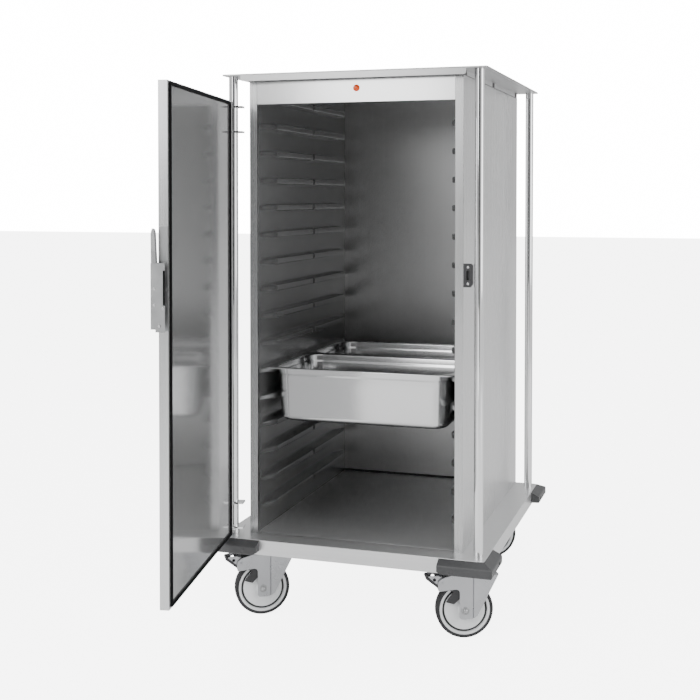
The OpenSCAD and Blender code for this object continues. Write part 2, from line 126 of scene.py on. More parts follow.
def apply_bevel(piece, width, segments=2, angle=30):
    """Rounds every edge that is sharper than angle."""
    only(piece)
    bevel = piece.modifiers.new("rounding", "BEVEL")
    bevel.width = width
    bevel.segments = segments
    bevel.limit_method = "ANGLE"
    bevel.angle_limit = math.radians(angle)
    bpy.ops.object.modifier_apply(modifier=bevel.name)


def smooth(piece, angle=35, flat=True):
    """Smooth shading. flat keeps the normals of the broad faces straight."""
    only(piece)
    bpy.ops.object.shade_smooth_by_angle(angle=math.radians(angle))
    if not flat:
        return
    weighted = piece.modifiers.new("weighted", "WEIGHTED_NORMAL")
    weighted.keep_sharp = True
    weighted.weight = NORMAL_WEIGHT
    bpy.ops.object.modifier_apply(modifier=weighted.name)


def block(name, corner, opposite):
    """A block between two opposite corners, as the start of a piece."""
    low = Vector(map(min, corner, opposite))
    high = Vector(map(max, corner, opposite))
    bpy.ops.object.select_all(action="DESELECT")
    bpy.ops.mesh.primitive_cube_add(size=1, location=(low + high) / 2)
    piece = bpy.context.object
    piece.scale = high - low
    piece.name = name
    bpy.ops.object.transform_apply(location=True, rotation=True, scale=True)
    return piece


def mesh_piece(name, verts, edges, faces):
    """A piece from its own points, lines and faces."""
    data = bpy.data.meshes.new(name)
    data.from_pydata(verts, edges, faces)
    piece = bpy.data.objects.new(name, data)
    bpy.context.scene.collection.objects.link(piece)
    return piece


def in_mm(points):
    """Points written in millimetres, as metres."""
    return [(a * mm, b * mm) for a, b in points]


def outline_plate(name, points, near, far):
    """A plate with its outline in the XZ plane, between two places along Y."""
    low, high = sorted((near, far))
    piece = mesh_piece(name, [(x, low, z) for x, z in points], [], [range(len(points))])
    edit_whole(piece)
    bpy.ops.mesh.extrude_region_move(TRANSFORM_OT_translate={"value": (0, high - low, 0)})
    bpy.ops.mesh.select_all(action="SELECT")
    bpy.ops.mesh.normals_make_consistent(inside=False)
    leave_edit()
    return piece


def spun(name, profile, steps=64):
    """A round piece about the Y axis. profile is a closed line of (radius, y) points."""
    count = len(profile)
    edges = [(i, (i + 1) % count) for i in range(count)]
    piece = mesh_piece(name, [(r, y, 0) for r, y in profile], edges, [])
    edit_whole(piece)
    bpy.ops.mesh.spin(steps=steps, angle=2 * math.pi, center=(0, 0, 0), axis=(0, 1, 0))
    bpy.ops.mesh.select_all(action="SELECT")
    bpy.ops.mesh.remove_doubles(threshold=MERGE_WITHIN)
    bpy.ops.mesh.normals_make_consistent(inside=False)
    leave_edit()
    return piece


def rounded_ring(half_x, half_y, radius, arc_steps=10):
    """Points round a rectangle with round corners, anticlockwise from its right side."""
    points = []
    for quarter, (sx, sy) in enumerate(((1, 1), (-1, 1), (-1, -1), (1, -1))):
        for k in range(arc_steps + 1):
            angle = math.radians(90 * quarter + 90 * k / arc_steps)
            points.append((sx * (half_x - radius) + radius * math.cos(angle),
                           sy * (half_y - radius) + radius * math.sin(angle)))
    return points


def copy_of(piece, name, matrix=None):
    """A copy with its own mesh, its place in the mesh."""
    twin = piece.copy()
    twin.data = piece.data.copy()
    twin.name = name
    twin.data.name = name
    bpy.context.scene.collection.objects.link(twin)
    if matrix is not None:
        twin.data.transform(matrix)
        if matrix.determinant() < 0:
            twin.data.flip_normals()
    return twin


def joined(name, pieces):
    """One object out of several."""
    bpy.ops.object.select_all(action="DESELECT")
    for piece in pieces:
        piece.select_set(True)
    bpy.context.view_layer.objects.active = pieces[0]
    bpy.ops.object.join()
    pieces[0].name = name
    return pieces[0]


def rounded_node(node, width, segments=2, angle=30):
    """The shape of a CAD node with its edges rounded."""
    piece = nodes[node].copy()
    piece.data = nodes[node].data.copy()
    piece.name = node + "_rounded"
    piece.parent = None
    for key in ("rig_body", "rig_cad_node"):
        if key in piece:
            del piece[key]
    bpy.context.scene.collection.objects.link(piece)
    piece.data.materials.clear()
    if piece.data.has_custom_normals:
        only(piece)
        bpy.ops.mesh.customdata_custom_splitnormals_clear()
    edit_whole(piece)
    bpy.ops.mesh.remove_doubles(threshold=MERGE_WITHIN)
    bpy.ops.mesh.dissolve_limited(angle_limit=FLAT_WITHIN)
    leave_edit()
    apply_bevel(piece, width, segments, angle)
    smooth(piece)
    return piece


def finish(piece, material, body, *replaced):
    """Gives a piece its material and its body, and hides the CAD nodes that it stands for."""
    piece.data.materials.clear()
    piece.data.materials.append(material)
    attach(piece, body)
    if replaced:
        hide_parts(*replaced)
    return piece


def dress_node(node, material):
    """A finish for a CAD node whose shape stays."""
    data = nodes[node].data
    data.materials.clear()
    data.materials.append(material)


def add_rounded(node, material, body, width, segments=2, angle=30):
    """A CAD node with rounded edges and a finish."""
    finish(rounded_node(node, width, segments, angle), material, body, node)


# ---- shader groups ----

NOISE_RANGE = (0.3, 0.7)
GRAIN_SCALES = (320, 60)
CLOUD_SCALE = 3.2
WEAR_SCALE = 22
FINE_SHARE = 0.6
STREAK_SHARE = 0.65


def new_group(name, inputs, outputs):
    group = bpy.data.node_groups.new(name, "ShaderNodeTree")
    for label, kind, value in inputs:
        socket = group.interface.new_socket(name=label, in_out="INPUT", socket_type=kind)
        socket.default_value = value
    for label, kind in outputs:
        group.interface.new_socket(name=label, in_out="OUTPUT", socket_type=kind)
    return group, group.nodes.new("NodeGroupInput"), group.nodes.new("NodeGroupOutput")


def noise(tree, vector, scale, detail, roughness=0.5):
    node = tree.nodes.new("ShaderNodeTexNoise")
    node.inputs["Scale"].default_value = scale
    node.inputs["Detail"].default_value = detail
    node.inputs["Roughness"].default_value = roughness
    tree.links.new(vector, node.inputs["Vector"])
    return node.outputs["Fac"]


def math_node(tree, operation, first, second):
    node = tree.nodes.new("ShaderNodeMath")
    node.operation = operation
    for socket, value in zip(node.inputs, (first, second)):
        if isinstance(value, (int, float)):
            socket.default_value = value
        else:
            tree.links.new(value, socket)
    return node.outputs[0]


def blend(tree, first, second, share):
    """A mix of two values, with share of the first."""
    return math_node(tree, "ADD", math_node(tree, "MULTIPLY", first, share),
                     math_node(tree, "MULTIPLY", second, 1 - share))


def grain_group():
    """Brushed grain: fine streaks along the sheet, and slow changes over it."""
    group, inside, outside = new_group(
        "brushed grain",
        [("Vector", "NodeSocketVector", (0, 0, 0)), ("Stretch", "NodeSocketVector", (1, 1, 1))],
        [("Streaks", "NodeSocketFloat"), ("Clouds", "NodeSocketFloat")],
    )
    stretch = group.nodes.new("ShaderNodeVectorMath")
    stretch.operation = "MULTIPLY"
    group.links.new(inside.outputs["Vector"], stretch.inputs[0])
    group.links.new(inside.outputs["Stretch"], stretch.inputs[1])
    fine, broad = [noise(group, stretch.outputs[0], scale, detail=2) for scale in GRAIN_SCALES]
    group.links.new(blend(group, fine, broad, FINE_SHARE), outside.inputs["Streaks"])
    clouds = noise(group, inside.outputs["Vector"], CLOUD_SCALE, detail=3, roughness=0.55)
    group.links.new(clouds, outside.inputs["Clouds"])
    return group


def mottle_group():
    """Fine moulded texture and slow wear, for plastic, rubber and plated metal."""
    group, inside, outside = new_group(
        "mottle",
        [("Vector", "NodeSocketVector", (0, 0, 0)), ("Scale", "NodeSocketFloat", 400.0)],
        [("Grain", "NodeSocketFloat"), ("Wear", "NodeSocketFloat")],
    )
    fine = group.nodes.new("ShaderNodeTexNoise")
    fine.inputs["Detail"].default_value = 3
    group.links.new(inside.outputs["Vector"], fine.inputs["Vector"])
    group.links.new(inside.outputs["Scale"], fine.inputs["Scale"])
    group.links.new(fine.outputs["Fac"], outside.inputs["Grain"])
    wear = noise(group, inside.outputs["Vector"], WEAR_SCALE, detail=4, roughness=0.6)
    group.links.new(wear, outside.inputs["Wear"])
    return group


GRAIN = grain_group()
MOTTLE = mottle_group()


# ---- materials ----

STEEL_CAST = (0.995, 1, 1.005)
STREAK_STRETCH = {"X": (0.008, 1, 1), "Y": (1, 0.008, 1), "Z": (1, 1, 0.008)}
STREAK_HEIGHT = 0.4 * mm
GRAIN_HEIGHT = 0.3 * mm
RUBBER_SHEEN = 0.12


def new_material(name):
    material = bpy.data.materials.new(name)
    material.use_nodes = True
    tree = material.node_tree
    shader = tree.nodes["Principled BSDF"]
    place = tree.nodes.new("ShaderNodeTexCoord")
    return material, tree, shader, place.outputs["Object"]


def spread(tree, value, low, high):
    """Maps a noise value onto the range from low to high."""
    node = tree.nodes.new("ShaderNodeMapRange")
    node.inputs["From Min"].default_value = NOISE_RANGE[0]
    node.inputs["From Max"].default_value = NOISE_RANGE[1]
    node.inputs["To Min"].default_value = low
    node.inputs["To Max"].default_value = high
    tree.links.new(value, node.inputs["Value"])
    return node.outputs["Result"]


def tint(tree, value, dark, light):
    """A colour that runs from dark to light with a noise value."""
    node = tree.nodes.new("ShaderNodeMix")
    node.data_type = "RGBA"
    node.inputs["A"].default_value = (*dark, 1)
    node.inputs["B"].default_value = (*light, 1)
    tree.links.new(value, node.inputs["Factor"])
    return node.outputs["Result"]


def raise_surface(tree, shader, height, strength, distance):
    """A fine relief in the finish, without any change of the shape."""
    bump = tree.nodes.new("ShaderNodeBump")
    bump.inputs["Strength"].default_value = strength
    bump.inputs["Distance"].default_value = distance
    tree.links.new(height, bump.inputs["Height"])
    tree.links.new(bump.outputs["Normal"], shader.inputs["Normal"])


def brushed_steel(name, along, tone, rough, relief=0.05, contrast=0.03, haze=0.0):
    """Stainless steel brushed along one axis. tone is how light the metal is, set darker on some
    copies as painted shade, and haze how much of the light its fine scratches scatter."""
    material, tree, shader, place = new_material(name)
    grain = tree.nodes.new("ShaderNodeGroup")
    grain.node_tree = GRAIN
    grain.inputs["Stretch"].default_value = STREAK_STRETCH[along]
    tree.links.new(place, grain.inputs["Vector"])
    streaks = grain.outputs["Streaks"]
    mix = blend(tree, streaks, grain.outputs["Clouds"], STREAK_SHARE)
    dark = tuple(tone * (1 - contrast) * c for c in STEEL_CAST)
    light = tuple(tone * (1 + contrast) * c for c in STEEL_CAST)
    colour = tint(tree, spread(tree, mix, 0, 1), dark, light)
    tree.links.new(colour, shader.inputs["Base Color"])
    tree.links.new(spread(tree, mix, *rough), shader.inputs["Roughness"])
    shader.inputs["Metallic"].default_value = 1 - haze
    if relief:
        raise_surface(tree, shader, streaks, relief, STREAK_HEIGHT)
    return material


def mottled(name, colour, rough, metallic=0.0, scale=400.0, relief=0.15, contrast=0.12):
    """Moulded plastic, rubber or plated metal."""
    material, tree, shader, place = new_material(name)
    mottle = tree.nodes.new("ShaderNodeGroup")
    mottle.node_tree = MOTTLE
    mottle.inputs["Scale"].default_value = scale
    tree.links.new(place, mottle.inputs["Vector"])
    dark = tuple(c * (1 - contrast) for c in colour)
    light = tuple(min(1, c * (1 + contrast)) for c in colour)
    wear = mottle.outputs["Wear"]
    shade = tint(tree, spread(tree, wear, 0, 1), dark, light)
    tree.links.new(shade, shader.inputs["Base Color"])
    tree.links.new(spread(tree, wear, *rough), shader.inputs["Roughness"])
    shader.inputs["Metallic"].default_value = metallic
    raise_surface(tree, shader, mottle.outputs["Grain"], relief, GRAIN_HEIGHT)
    return material


STEEL_UPRIGHT = brushed_steel("steel brushed upright", "Z", tone=0.67, rough=(0.22, 0.31),
                              relief=0.03, contrast=0.07)
STEEL_ACROSS = brushed_steel("steel brushed across", "X", tone=0.74, rough=(0.24, 0.3),
                             relief=0.03, contrast=0.04)
STEEL_LENGTHWISE = brushed_steel("steel brushed lengthwise", "Y", tone=0.7, rough=(0.28, 0.34),
                                 relief=0.03, contrast=0.04)
# The panel steel in a darker tone for the jambs' front faces: painted shade.
JAMB_SHADE_STEEL = brushed_steel("jamb steel, shaded tone", "Z", tone=0.5, rough=(0.24, 0.3),
                           relief=0.03, contrast=0.09)
HEADER_STEEL = brushed_steel("header steel", "X", tone=0.78, rough=(0.17, 0.19),
                             relief=0, contrast=0.02, haze=0.12)
ROOF_STEEL = brushed_steel("roof steel", "X", tone=0.42, rough=(0.26, 0.32),
                           relief=0.03, contrast=0.04)
BASE_STEEL = brushed_steel("base steel", "X", tone=0.74, rough=(0.3, 0.36),
                           relief=0.02, contrast=0.04, haze=0.16)
# The side and back linings take the panel steel in a darker tone: painted shade of the cabinet's
# inside.
SIDE_LINING_SHADED = brushed_steel("side lining, shaded tone", "Z", tone=0.4, rough=(0.25, 0.265),
                            relief=0, contrast=0.03, haze=0.2)
BACK_LINING_SHADED = brushed_steel("back lining, shaded tone", "Z", tone=0.46, rough=(0.29, 0.3),
                            relief=0, contrast=0.03, haze=0.26)
LINING_FLOOR = brushed_steel("floor lining", "X", tone=0.62, rough=(0.3, 0.32),
                             relief=0, contrast=0.03, haze=0.42)
DOOR_LINING = brushed_steel("door lining", "Z", tone=0.54, rough=(0.11, 0.12),
                            relief=0, contrast=0.03, haze=0.25)
POLISHED = brushed_steel("polished tube", "Z", tone=0.8, rough=(0.07, 0.1), relief=0, contrast=0.02)
PAN_STEEL = brushed_steel("pan steel", "X", tone=0.66, rough=(0.15, 0.18),
                          relief=0.01, contrast=0.03)
ZINC = mottled("zinc plate", (0.46, 0.465, 0.48), rough=(0.24, 0.34), metallic=0.92,
               scale=300, relief=0.1, contrast=0.06)
LATCH_STEEL = mottled("latch steel", (0.42, 0.425, 0.43), rough=(0.3, 0.4), metallic=0.9,
                      scale=300, relief=0.05, contrast=0.08)
WHEEL_GREY = mottled("wheel plastic", (0.8, 0.81, 0.82), rough=(0.4, 0.55), metallic=0,
                     scale=500, relief=0.1, contrast=0.05)
# Black for the tyre, also used for the painted shade rings in the hub's groove.
TYRE_RUBBER_AND_SHADE = mottled("tyre rubber and groove shade", (0.045, 0.045, 0.047), rough=(0.5, 0.7), metallic=0,
                      scale=600, relief=0.3, contrast=0.3)
# Black for the brake arm and its tread, also used for the painted shade marks in the cabinet.
BLACK_PLASTIC_AND_SHADE = mottled("brake arm plastic and painted shade", (0.03, 0.03, 0.032), rough=(0.45, 0.6), metallic=0,
                      scale=600, relief=0.2, contrast=0.2)
BUMPER_GREY = mottled("bumper plastic", (0.058, 0.059, 0.061), rough=(0.4, 0.55), metallic=0,
                      scale=700, relief=0.35, contrast=0.12)
# Black for the door seal, also used for the painted shade in the latch.
SEAL_RUBBER_AND_SHADE = mottled("seal rubber and painted shade", (0.006, 0.006, 0.0065), rough=(0.75, 0.9), metallic=0,
                     scale=500, relief=0.1, contrast=0.2)
# Steel toned almost black for the bumper screws: painted shade of their recesses.
SCREW_SHADE_STEEL = mottled("screw steel, painted shade", (0.1, 0.1, 0.102), rough=(0.3, 0.4), metallic=0.9,
                     scale=400, relief=0.05, contrast=0.1)
STRIKE_BLACK = mottled("strike plastic", (0.035, 0.035, 0.037), rough=(0.35, 0.5), metallic=0,
                       scale=700, relief=0.3, contrast=0.15)
BUTTON_ORANGE = mottled("button plastic", (0.8, 0.09, 0.012), rough=(0.2, 0.3), metallic=0,
                        scale=300, relief=0.05, contrast=0.15)
for rubber in (SEAL_RUBBER_AND_SHADE, TYRE_RUBBER_AND_SHADE):
    rubber_shader = rubber.node_tree.nodes["Principled BSDF"]
    rubber_shader.inputs["Specular IOR Level"].default_value = RUBBER_SHEEN


# ---- cabinet ----

LINER_SLOPE = 24 * mm
LINER_LIP = 0.3 * mm
VENT_SLOTS = (-0.352, 0.03, 0.405)
VENT_SLOT_HALF = 15 * mm
BAND_WALL = 6 * mm
BAND_INSET = 0.3 * mm
# How far a painted shade mark reaches to the left and to the right of its panel's face
MARK_LEFT = 0.6 * mm
MARK_RIGHT = 0.15 * mm
JAMB_PROUD = 0.4 * mm
JAMB_GAP = 2 * mm
ROOF_SHEET = 4.5 * mm
ROOF_CORNER = 5 * mm
RIM_HALF = 310 * mm
RIM_CORNER = 7 * mm
RIM_WALL = 1.5 * mm


def add_floor_liner():
    """The floor sheet, with a sloped front and a black strip along its back, painted shade in the
    corner where it meets the back wall.
    """
    low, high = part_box("floor_liner")
    liner = block("liner", low, high)
    for vert in liner.data.vertices:
        if vert.co.y < low.y + 1 * mm and vert.co.z > high.z - 1 * mm:
            vert.co.z = low.z + LINER_LIP
            vert.co.y = low.y
    edit_whole(liner)
    bpy.ops.mesh.bisect(plane_co=(0, low.y + LINER_SLOPE, 0), plane_no=(0, 1, 0))
    leave_edit()
    for vert in liner.data.vertices:
        on_cut = abs(vert.co.y - low.y - LINER_SLOPE) < 0.1 * mm
        if on_cut and vert.co.z > low.z + 0.1 * mm:
            vert.co.z = high.z
    smooth(liner, 20)
    finish(liner, LINING_FLOOR, "cabinet", "floor_liner")
    # A black strip in the corner between the floor and the back wall: painted shade.
    seam_shade = block("seam_shade", (low.x, high.y - 2.5 * mm, high.z - 0.5 * mm),
                 (high.x, high.y - 0.2 * mm, high.z + 5 * mm))
    finish(seam_shade, BLACK_PLASTIC_AND_SHADE, "cabinet")


def add_vent_bands():
    """The strip between each side panel and the roof, with black marks as painted shade on its seam
    and its vent slots.
    """
    low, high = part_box("right_side_panel")
    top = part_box("roof")[1].z - ROOF_SHEET
    bands, shade_marks = [], []
    for side in (-1, 1):
        face = side * high.x
        bands.append(block("band", (face - side * BAND_WALL, low.y + BAND_INSET, high.z),
                           (face - side * BAND_INSET, high.y, top)))
        left, right = face - MARK_LEFT, face + MARK_RIGHT
        # Black strips along the seam and on the vent slots: painted shade, the slots are not cut.
        shade_marks.append(block("seam_shade", (left, low.y - 0.1 * mm, high.z - 1.6 * mm),
                           (right, high.y, high.z + 0.2 * mm)))
        for y in VENT_SLOTS:
            shade_marks.append(block("slot", (left, y - VENT_SLOT_HALF, high.z + 1 * mm),
                               (right, y + VENT_SLOT_HALF, top - 0.3 * mm)))
    finish(joined("vent_bands", bands), STEEL_LENGTHWISE, "cabinet")
    finish(joined("vent_painted_shade", shade_marks), BLACK_PLASTIC_AND_SHADE, "cabinet")


def add_jamb_faces():
    """Thin plates in a darker tone of the panel steel over the front faces of the two jambs, as
    painted shade, and the floor sheet between them up to the front edge.
    """
    low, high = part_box("right_side_panel")
    faces = []
    for side in (-1, 1):
        faces.append(block("jamb", (side * (low.x + JAMB_PROUD), low.y - JAMB_PROUD, low.z),
                           (side * (high.x - 0.5 * mm), low.y + JAMB_PROUD, high.z - JAMB_GAP)))
    finish(joined("jamb_shade_plates", faces), JAMB_SHADE_STEEL, "cabinet")
    base_low, base_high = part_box("base_plate")
    ledge = block("ledge", (-low.x, base_low.y + 1.5 * mm, base_high.z - 0.5 * mm),
                  (low.x, low.y + 1 * mm, base_high.z + 0.3 * mm))
    finish(ledge, LINING_FLOOR, "cabinet")


def roof_sheet(low, high):
    """The roof's flat sheet, with rounded corners."""
    middle = (low + high) / 2
    ring = rounded_ring(high.x - middle.x, high.y - middle.y, ROOF_CORNER, 3)
    # the plate is made upright and then laid flat, which turns its y round
    upright = [(middle.x + x, -middle.y - y) for x, y in ring]
    sheet = outline_plate("sheet", upright, high.z - ROOF_SHEET, high.z)
    sheet.data.transform(Matrix.Rotation(QUARTER_TURN, 4, "X"))
    apply_bevel(sheet, 0.6 * mm)
    return sheet


def roof_rim(low, high):
    """The deeper rim over the opening, with its two lower corners rounded."""
    outline = []
    for side, turns in ((-1, (90, 60, 30, 0)), (1, (0, 30, 60, 90))):
        for turn in map(math.radians, turns):
            outline.append((side * (RIM_HALF - RIM_CORNER + RIM_CORNER * math.sin(turn)),
                            low.z + RIM_CORNER - RIM_CORNER * math.cos(turn)))
    top = high.z - 1 * mm
    outline += [(RIM_HALF, top), (-RIM_HALF, top)]
    return outline_plate("rim", outline, low.y, low.y + RIM_WALL)


def add_roof():
    """The roof's sheet and rim, as one piece."""
    low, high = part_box("roof")
    sheet = roof_sheet(low, high)
    roof = joined("roof", [sheet, roof_rim(low, high)])
    smooth(roof)
    finish(roof, ROOF_STEEL, "cabinet", "roof")


def add_cabinet():
    for node in ("left_inner_wall", "right_inner_wall", "ceiling_liner"):
        dress_node(node, SIDE_LINING_SHADED)
    dress_node("back_inner_wall", BACK_LINING_SHADED)
    add_floor_liner()
    for node in ("front_cross_rail", "back_cross_rail"):
        dress_node(node, STEEL_ACROSS)
    dress_node("back_panel", STEEL_UPRIGHT)
    for node in ("left_side_panel", "right_side_panel"):
        add_rounded(node, STEEL_UPRIGHT, "cabinet", 0.5 * mm)
    add_rounded("base_plate", BASE_STEEL, "cabinet", 0.9 * mm, 3)
    add_rounded("header_panel", HEADER_STEEL, "cabinet", 0.5 * mm)
    add_roof()
    add_rounded("vent_frame", STEEL_LENGTHWISE, "cabinet", 0.3 * mm)
    add_vent_bands()
    add_jamb_faces()
    for node in ("front_left_post", "front_right_post", "back_left_post", "back_right_post"):
        add_rounded(node, POLISHED, "cabinet", 0.4 * mm)
    add_rounded("hinge_ring", POLISHED, "cabinet", 1 * mm, 3)
    for node in ("front_bumpers", "back_bumpers"):
        add_rounded(node, BUMPER_GREY, "cabinet", 2 * mm, 3, angle=15)
    add_rounded("strike_block", STRIKE_BLACK, "cabinet", 1.5 * mm, 3)
    add_rounded("header_marker", BUTTON_ORANGE, "cabinet", 0.4 * mm)
    add_rounded("bumper_screws", SCREW_SHADE_STEEL, "cabinet", 0.8 * mm, 3)
    add_rounded("strike_screws", POLISHED, "cabinet", 0.5 * mm)
    add_rounded("castor_heads", ZINC, "cabinet", 1.2 * mm, 3)


add_cabinet()


# ---- runners ----

LEVELS = 16
LEDGE_H = 18 * mm
BEAD_RAMPS = {-1: 85 * mm, 1: 52 * mm}
RAMP_STEPS = 12
BEAD_NECK = 9 * mm
NECK_STEPS = 8
BEAD_WAIST = 0.22
# How high a bead still is at its flat ends, as a part of its full height
BEAD_END = 0.55
# Points across a bead, from its lower edge to its upper one: how far out, and how high
BEAD_SECTION = (
    (0, 0), (0.5, 0), (0.84, 0.02), (0.94, 0.08), (0.99, 0.18), (1, 0.3),
    (1, 0.7), (0.99, 0.82), (0.94, 0.92), (0.84, 0.98), (0.5, 1), (0, 1),
)


def bead_stations(front, back, length):
    """Places along a bead, each with how far the bead stands out there."""
    ramp, neck = [], []
    for k in range(RAMP_STEPS + 1):
        t = k / RAMP_STEPS
        ramp.append((front + length * t, 0.5 - 0.5 * math.cos(math.pi * t)))
    for k in range(NECK_STEPS + 1):
        t = 2 * k / NECK_STEPS - 1
        neck.append(((front + back) / 2 + BEAD_NECK * t,
                     1 - BEAD_WAIST * (1 + math.cos(math.pi * t)) / 2))
    tail = [(back - (y - front), swell) for y, swell in reversed(ramp)]
    return ramp + neck + tail


def bead_piece(name, nose_x, wall_x, front, back, low, length):
    """One bead pressed out of the right wall, with tapered ends and a neck in its middle."""
    stations = bead_stations(front, back, length)
    verts, faces = [], []
    for y, swell in stations:
        height = LEDGE_H * (BEAD_END + (1 - BEAD_END) * swell)
        for out, up in BEAD_SECTION:
            verts.append((wall_x - (wall_x - nose_x) * out * swell, y,
                          low + LEDGE_H / 2 + height * (up - 0.5)))
    count = len(BEAD_SECTION)
    for row in range(len(stations) - 1):
        for k in range(count - 1):
            a = row * count + k
            faces.append((a, a + 1, a + 1 + count, a + count))
    return mesh_piece(name, verts, [], faces)


def add_runners(node, side):
    """Pressed beads along one inner wall. side is 1 on the right and -1 on the left."""
    low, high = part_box(node)
    pitch = (high.z - low.z - LEDGE_H) / (LEVELS - 1)
    nose_x, wall_x = sorted((abs(low.x), abs(high.x)))
    bead = bead_piece("bead", nose_x, wall_x, low.y, high.y, low.z, BEAD_RAMPS[side])
    levels = []
    for k in range(LEVELS):
        levels.append(copy_of(bead, f"level_{k + 1}", Matrix.Translation((0, 0, k * pitch))))
    bpy.data.objects.remove(bead)
    piece = joined(node + "_pressed", levels)
    edit_whole(piece)
    bpy.ops.mesh.remove_doubles(threshold=MERGE_WITHIN)
    leave_edit()
    if side < 0:
        piece.data.transform(Matrix.Scale(-1, 4, (1, 0, 0)))
        piece.data.flip_normals()
    smooth(piece, 50)
    finish(piece, SIDE_LINING_SHADED, "cabinet", node)


add_runners("left_runners", -1)
add_runners("right_runners", 1)


# ---- door ----

# The post that the door hangs on, and the door's turn at rest. Before that turn the door is
# shut: it lies along X from the post, with its inner face in the plane of the post's axis.
HINGE_POST = (-0.340, -0.383, 0)
REST_TURN = math.radians(-80)
DOOR_PLACE = Matrix.Translation(HINGE_POST) @ Matrix.Rotation(REST_TURN, 4, "Z")
LATCH_SLIM = 0.9
SEAL_SLIM = 0.55
# Two corners of a thin black sheet in the latch, painted shade of its slot, on the shut door
LATCH_SLOT_SHADE_CORNERS = ((657.8 * mm, -8 * mm, 902 * mm), (658.3 * mm, -0.3 * mm, 985 * mm))
# The lever's bar in mm: how far each point stands in front of the inner face, its height,
# and how far the bar's two sides are from the post's axis
BAR_OUTLINE = (
    (8, 854), (18, 854), (28, 920), (32, 985), (32.8, 1000), (33.4, 1062), (32, 1070),
    (29, 1073.5), (26, 1072), (24.6, 1066), (21.4, 998), (17, 920),
)
BAR_SIDES = (642.6, 655.4)


def slimmed(piece, amount=LATCH_SLIM):
    """A part of the door made less deep, measured from the door's inner face."""
    squash = Matrix.Scale(amount, 4, (0, 1, 0))
    piece.data.transform(DOOR_PLACE @ squash @ DOOR_PLACE.inverted())
    return piece


def lever_piece():
    """The latch lever with a thicker bar."""
    outline = in_mm((-out, height) for out, height in BAR_OUTLINE)
    near, far = BAR_SIDES
    bar = outline_plate("bar", outline, -near * mm, -far * mm)
    bar.data.transform(DOOR_PLACE @ Matrix.Rotation(QUARTER_TURN, 4, "Z"))
    return joined("lever", [rounded_node("latch_lever", 1 * mm, 3), bar])


def add_door():
    add_rounded("door_outer_skin", STEEL_UPRIGHT, "door", 0.5 * mm, 3)
    dress_node("door_inner_skin", DOOR_LINING)
    seal = slimmed(rounded_node("door_seal", 3 * mm, 4), SEAL_SLIM)
    finish(seal, SEAL_RUBBER_AND_SHADE, "door", "door_seal")
    for node in ("upper_hinge", "lower_hinge"):
        add_rounded(node, POLISHED, "door", 0.7 * mm, 3)
    add_rounded("hinge_screws", POLISHED, "door", 0.5 * mm)
    housing = slimmed(rounded_node("latch_housing", 0.6 * mm, 3))
    finish(housing, LATCH_STEEL, "door", "latch_housing")
    # A black sheet in the latch housing: painted shade of the slot.
    latch_slot_shade = block("latch_slot_shade", *LATCH_SLOT_SHADE_CORNERS)
    latch_slot_shade.data.transform(DOOR_PLACE)
    finish(latch_slot_shade, SEAL_RUBBER_AND_SHADE, "door")
    add_rounded("latch_plate", LATCH_STEEL, "door", 0.5 * mm)
    screws = slimmed(rounded_node("latch_screws", 0.4 * mm))
    finish(screws, POLISHED, "door", "latch_screws")
    add_rounded("latch_pin", POLISHED, "door", 0.4 * mm)
    add_rounded("latch_spring", POLISHED, "door", 0.4 * mm)
    finish(lever_piece(), LATCH_STEEL, "latch", "latch_lever")


add_door()


# ---- pans ----

PAN_RIM = 16 * mm
PAN_CORNER = 54 * mm
PAN_SHOULDER = 20 * mm
PAN_STEP = 4 * mm
PAN_TAPER = 11 * mm
PAN_FOOT_R = 16 * mm
PAN_WALL = 0.9 * mm
SIDE_STEPS = 4
FOOT_STEPS = 6
# The rolled rim and the flat round it in mm: how far each ring lies in from the rim's edge,
# its corner radius and its depth
PAN_RIM_RINGS = (
    (0, 14, 2.4), (0, 14, 1.2), (0.5, 13.6, 0.3), (1.4, 13, 0), (3, 12, 0.15), (4.2, 12, 0.9),
    (10.5, 40, 0.9), (11.8, 56, 0.3), (13, 56, 0.3), (14.4, 55.2, 1.1), (15.5, 54.4, 2.6),
    (16, 54, 4.4),
)


def pan_profile(depth):
    """How far each ring lies in from the rim's edge, its corner radius and its depth:
    a rolled rim, a straight collar, a step, tapered sides and a round foot."""
    rings = [(inset * mm, radius * mm, down * mm) for inset, radius, down in PAN_RIM_RINGS]
    sides = [(1 * mm, PAN_SHOULDER - 4 * mm), (1.4 * mm, PAN_SHOULDER - 2 * mm),
             (PAN_STEP - 0.6 * mm, PAN_SHOULDER + 1.2 * mm), (PAN_STEP, PAN_SHOULDER + 3.5 * mm)]
    foot_top = depth - PAN_FOOT_R
    step_end = PAN_SHOULDER + 3.5 * mm
    for k in range(1, SIDE_STEPS + 1):
        t = k / SIDE_STEPS
        sides.append((PAN_STEP + (PAN_TAPER - PAN_STEP) * t, step_end + (foot_top - step_end) * t))
    for k in range(1, FOOT_STEPS + 1):
        angle = QUARTER_TURN * k / FOOT_STEPS
        sides.append((PAN_TAPER + PAN_FOOT_R * (1 - math.cos(angle)),
                      foot_top + (PAN_FOOT_R - PAN_WALL) * math.sin(angle)))
    return rings + [(PAN_RIM + inset, PAN_CORNER - inset, down) for inset, down in sides]


def drawn_mesh(name, centre, half_x, half_y, rings):
    """A sheet drawn through rings, each with its inset, corner radius and depth."""
    verts, faces = [], []
    for inset, radius, down in rings:
        for x, y in rounded_ring(half_x - inset, half_y - inset, radius):
            verts.append((centre.x + x, centre.y + y, centre.z - down))
    count = len(verts) // len(rings)
    for ring in range(len(rings) - 1):
        for k in range(count):
            a, b = ring * count + k, ring * count + (k + 1) % count
            faces.append((a, b, b + count, a + count))
    faces.append(tuple(range((len(rings) - 1) * count, len(rings) * count)))
    return mesh_piece(name, verts, [], faces)


